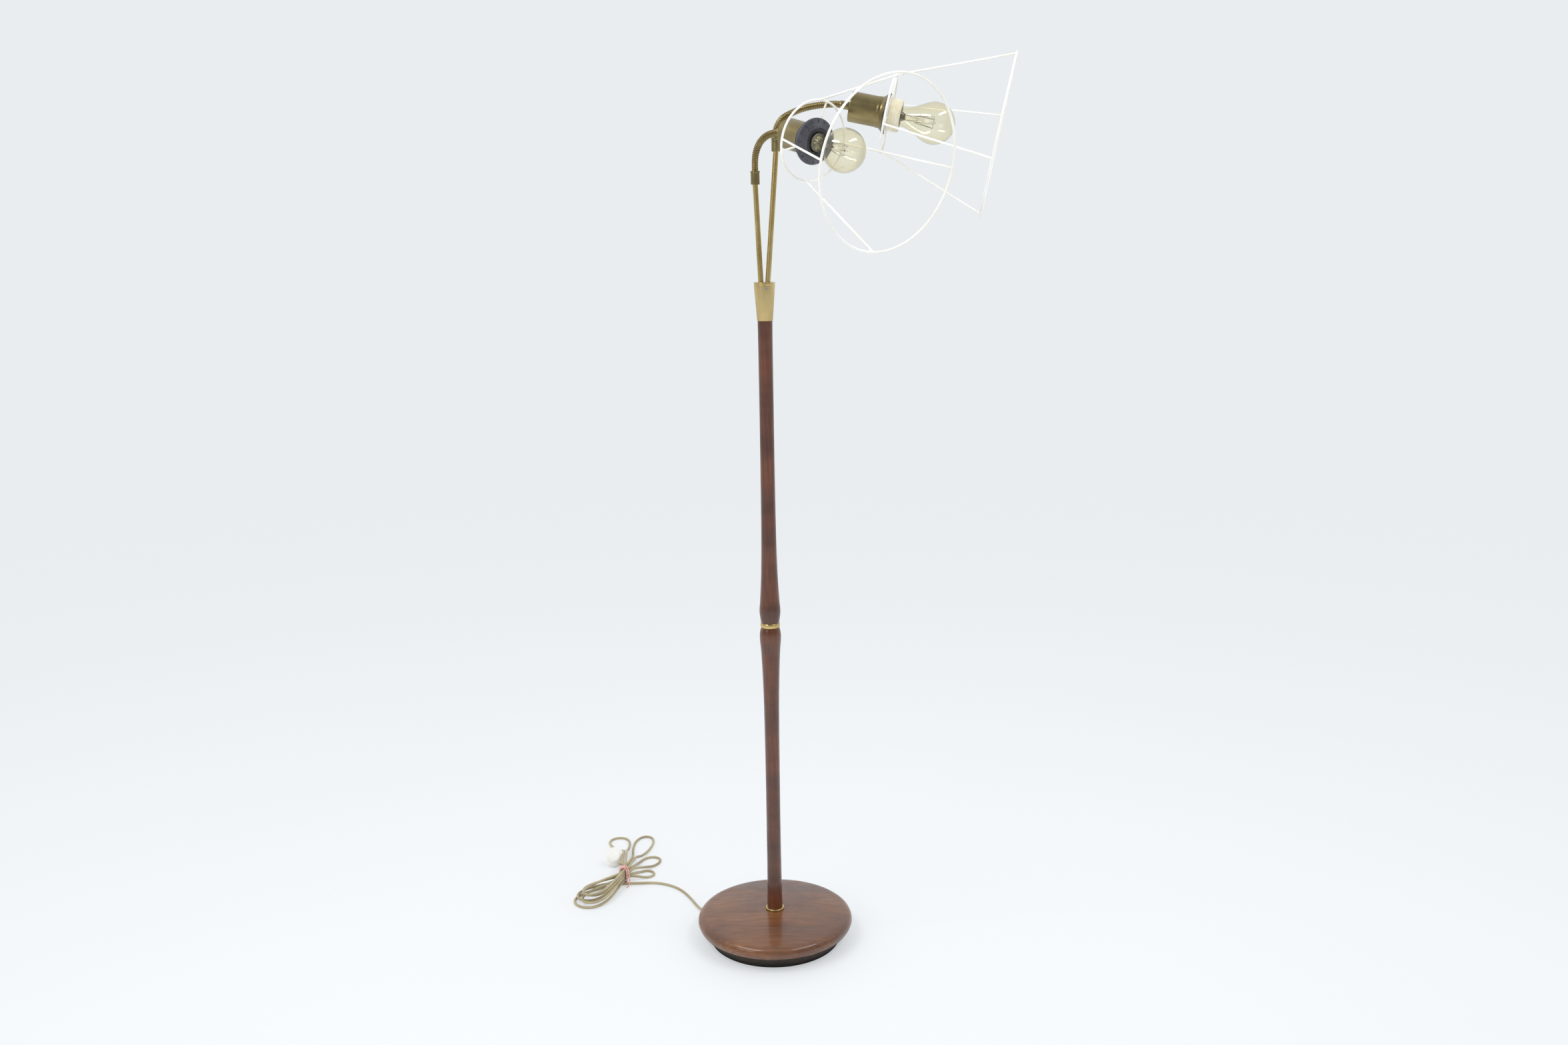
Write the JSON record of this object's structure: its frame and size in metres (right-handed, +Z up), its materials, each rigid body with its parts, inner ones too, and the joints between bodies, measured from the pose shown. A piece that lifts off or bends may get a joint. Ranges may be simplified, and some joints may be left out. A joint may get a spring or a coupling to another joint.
{
  "type": "floor lamp",
  "caption": "Floor lamp on a turned wooden stand, with two flexible brass necks that each carry a bare bulb in an open wire cage.",
  "frame": {"origin": "centre of the base's flat underside, on the floor", "axes": "+Z up along the stem; +X the way the right-hand arm reaches; -Y the front, which the left-hand arm leans towards"},
  "size_m": [0.7121, 0.6881, 1.3709],
  "materials": {
    "turned_wood": "lacquered",
    "iron_ring": "raw",
    "felt": "pressed felt",
    "steel": "zinc plated",
    "aged_brass": "aged, satin",
    "neck_brass": "ribbed, aged",
    "black_plastic": "moulded",
    "cream_plastic": "moulded",
    "white_wire": "white lacquer",
    "clear_glass": "clear",
    "filament": "drawn",
    "cord_plastic": "extruded",
    "tie_twine": "twisted twine",
    "white_plastic": "moulded",
    "pin_brass": "polished"
  },
  "bodies": {
    "stand": {"base_disc": "turned_wood", "lower_stem": "turned_wood", "upper_stem": "turned_wood", "base_weight": "iron_ring", "base_felt": "felt", "base_flange_nut": "steel", "tie_tube": "steel", "collar_nut": "steel", "tube_nuts": "steel", "collar_grub_screw": "steel", "foot_ring": "aged_brass", "joint_ring": "aged_brass", "top_collar": "aged_brass", "collar_lid": "aged_brass", "arm_tube_left": "aged_brass", "arm_tube_right": "aged_brass", "ferrule_left": "aged_brass", "ferrule_right": "aged_brass", "cord_bush": "black_plastic", "lead_connector": "black_plastic", "inner_leads": "cord_plastic", "cord_run": "cord_plastic", "cord_hank": "cord_plastic", "cord_tie": "tie_twine", "plug_body": "white_plastic", "plug_pins": "pin_brass"},
    "neck_left_1": {"neck_left_1": "neck_brass"},
    "neck_left_2": {"neck_left_2": "neck_brass"},
    "neck_left_3": {"neck_left_3": "neck_brass"},
    "neck_left_4": {"neck_left_4": "neck_brass"},
    "neck_left_5": {"neck_left_5": "neck_brass"},
    "head_left": {"neck_left_6": "neck_brass", "cup_left": "aged_brass", "holder_left": "black_plastic", "holder_shell_left": "aged_brass", "shade_gasket_left": "black_plastic", "shade_ring_left": "black_plastic", "bulb_cap_left": "aged_brass", "bulb_glass_left": "clear_glass", "bulb_filament_left": "filament", "cage_front_ring_left": "white_wire", "cage_rear_ring_left": "white_wire", "cage_ribs_left": "white_wire"},
    "neck_right_1": {"neck_right_1": "neck_brass"},
    "neck_right_2": {"neck_right_2": "neck_brass"},
    "neck_right_3": {"neck_right_3": "neck_brass"},
    "neck_right_4": {"neck_right_4": "neck_brass"},
    "neck_right_5": {"neck_right_5": "neck_brass"},
    "head_right": {"neck_right_6": "neck_brass", "cup_right": "aged_brass", "holder_right": "black_plastic", "holder_shell_right": "aged_brass", "shade_gasket_right": "black_plastic", "shade_ring_right": "cream_plastic", "bulb_cap_right": "aged_brass", "bulb_glass_right": "clear_glass", "bulb_filament_right": "filament", "cage_front_ring_right": "white_wire", "cage_rear_ring_right": "white_wire", "cage_ribs_right": "white_wire"}
  },
  "joints": [
    {"name": "left_bend_1", "type": "hinge", "parent": "stand", "child": "neck_left_1", "pos_m": [-0.01084, 0, 1.2301], "axis": [0.788, 0.6157, 0], "range_deg": [-9, 12]},
    {"name": "left_sway_2", "type": "hinge", "parent": "neck_left_1", "child": "neck_left_2", "pos_m": [-0.00876, -0.00267, 1.24109], "axis": [0.5546, -0.7099, -0.4341], "range_deg": [-1, 12]},
    {"name": "left_bend_3", "type": "hinge", "parent": "neck_left_2", "child": "neck_left_3", "pos_m": [-0.00477, -0.00778, 1.25059], "axis": [0.788, 0.6157, 0], "range_deg": [-9, 12]},
    {"name": "left_sway_4", "type": "hinge", "parent": "neck_left_3", "child": "neck_left_4", "pos_m": [0.00077, -0.01487, 1.25776], "axis": [0.3076, -0.3937, -0.8662], "range_deg": [-1, 12]},
    {"name": "left_bend_5", "type": "hinge", "parent": "neck_left_4", "child": "neck_left_5", "pos_m": [0.01052, -0.02734, 1.26396], "axis": [0.788, 0.6157, 0], "range_deg": [-9, 12]},
    {"name": "left_sway_6", "type": "hinge", "parent": "neck_left_5", "child": "head_left", "pos_m": [0.02893, -0.05091, 1.26618], "axis": [-0.0464, 0.0594, -0.9972], "range_deg": [-1, 12]},
    {"name": "right_bend_1", "type": "hinge", "parent": "stand", "child": "neck_right_1", "pos_m": [0.01991, 0, 1.2685], "axis": [0.1426, 0.9898, 0], "range_deg": [-12, 6]},
    {"name": "right_sway_2", "type": "hinge", "parent": "neck_right_1", "child": "neck_right_2", "pos_m": [0.02252, -0.00038, 1.2771], "axis": [0.893, -0.1287, -0.4313], "range_deg": [-12, 0]},
    {"name": "right_bend_3", "type": "hinge", "parent": "neck_right_2", "child": "neck_right_3", "pos_m": [0.02751, -0.0011, 1.28456], "axis": [0.1426, 0.9898, 0], "range_deg": [-12, 6]},
    {"name": "right_sway_4", "type": "hinge", "parent": "neck_right_3", "child": "neck_right_4", "pos_m": [0.03444, -0.00209, 1.29021], "axis": [0.5006, -0.0721, -0.8627], "range_deg": [-12, 0]},
    {"name": "right_bend_5", "type": "hinge", "parent": "neck_right_4", "child": "neck_right_5", "pos_m": [0.06384, -0.00633, 1.30213], "axis": [0.1426, 0.9898, 0], "range_deg": [-12, 6]},
    {"name": "right_sway_6", "type": "hinge", "parent": "neck_right_5", "child": "head_right", "pos_m": [0.10664, -0.0125, 1.30579], "axis": [-0.0636, 0.0092, -0.9979], "range_deg": [-12, 0]}
  ],
  "couplings": [
    {"joint": "left_bend_3", "follows": "left_bend_1", "ratio": 1},
    {"joint": "left_sway_4", "follows": "left_sway_2", "ratio": 1},
    {"joint": "left_bend_5", "follows": "left_bend_1", "ratio": 1},
    {"joint": "left_sway_6", "follows": "left_sway_2", "ratio": 1},
    {"joint": "right_bend_3", "follows": "right_bend_1", "ratio": 1},
    {"joint": "right_sway_4", "follows": "right_sway_2", "ratio": 1},
    {"joint": "right_bend_5", "follows": "right_bend_1", "ratio": 1},
    {"joint": "right_sway_6", "follows": "right_sway_2", "ratio": 1}
  ]
}
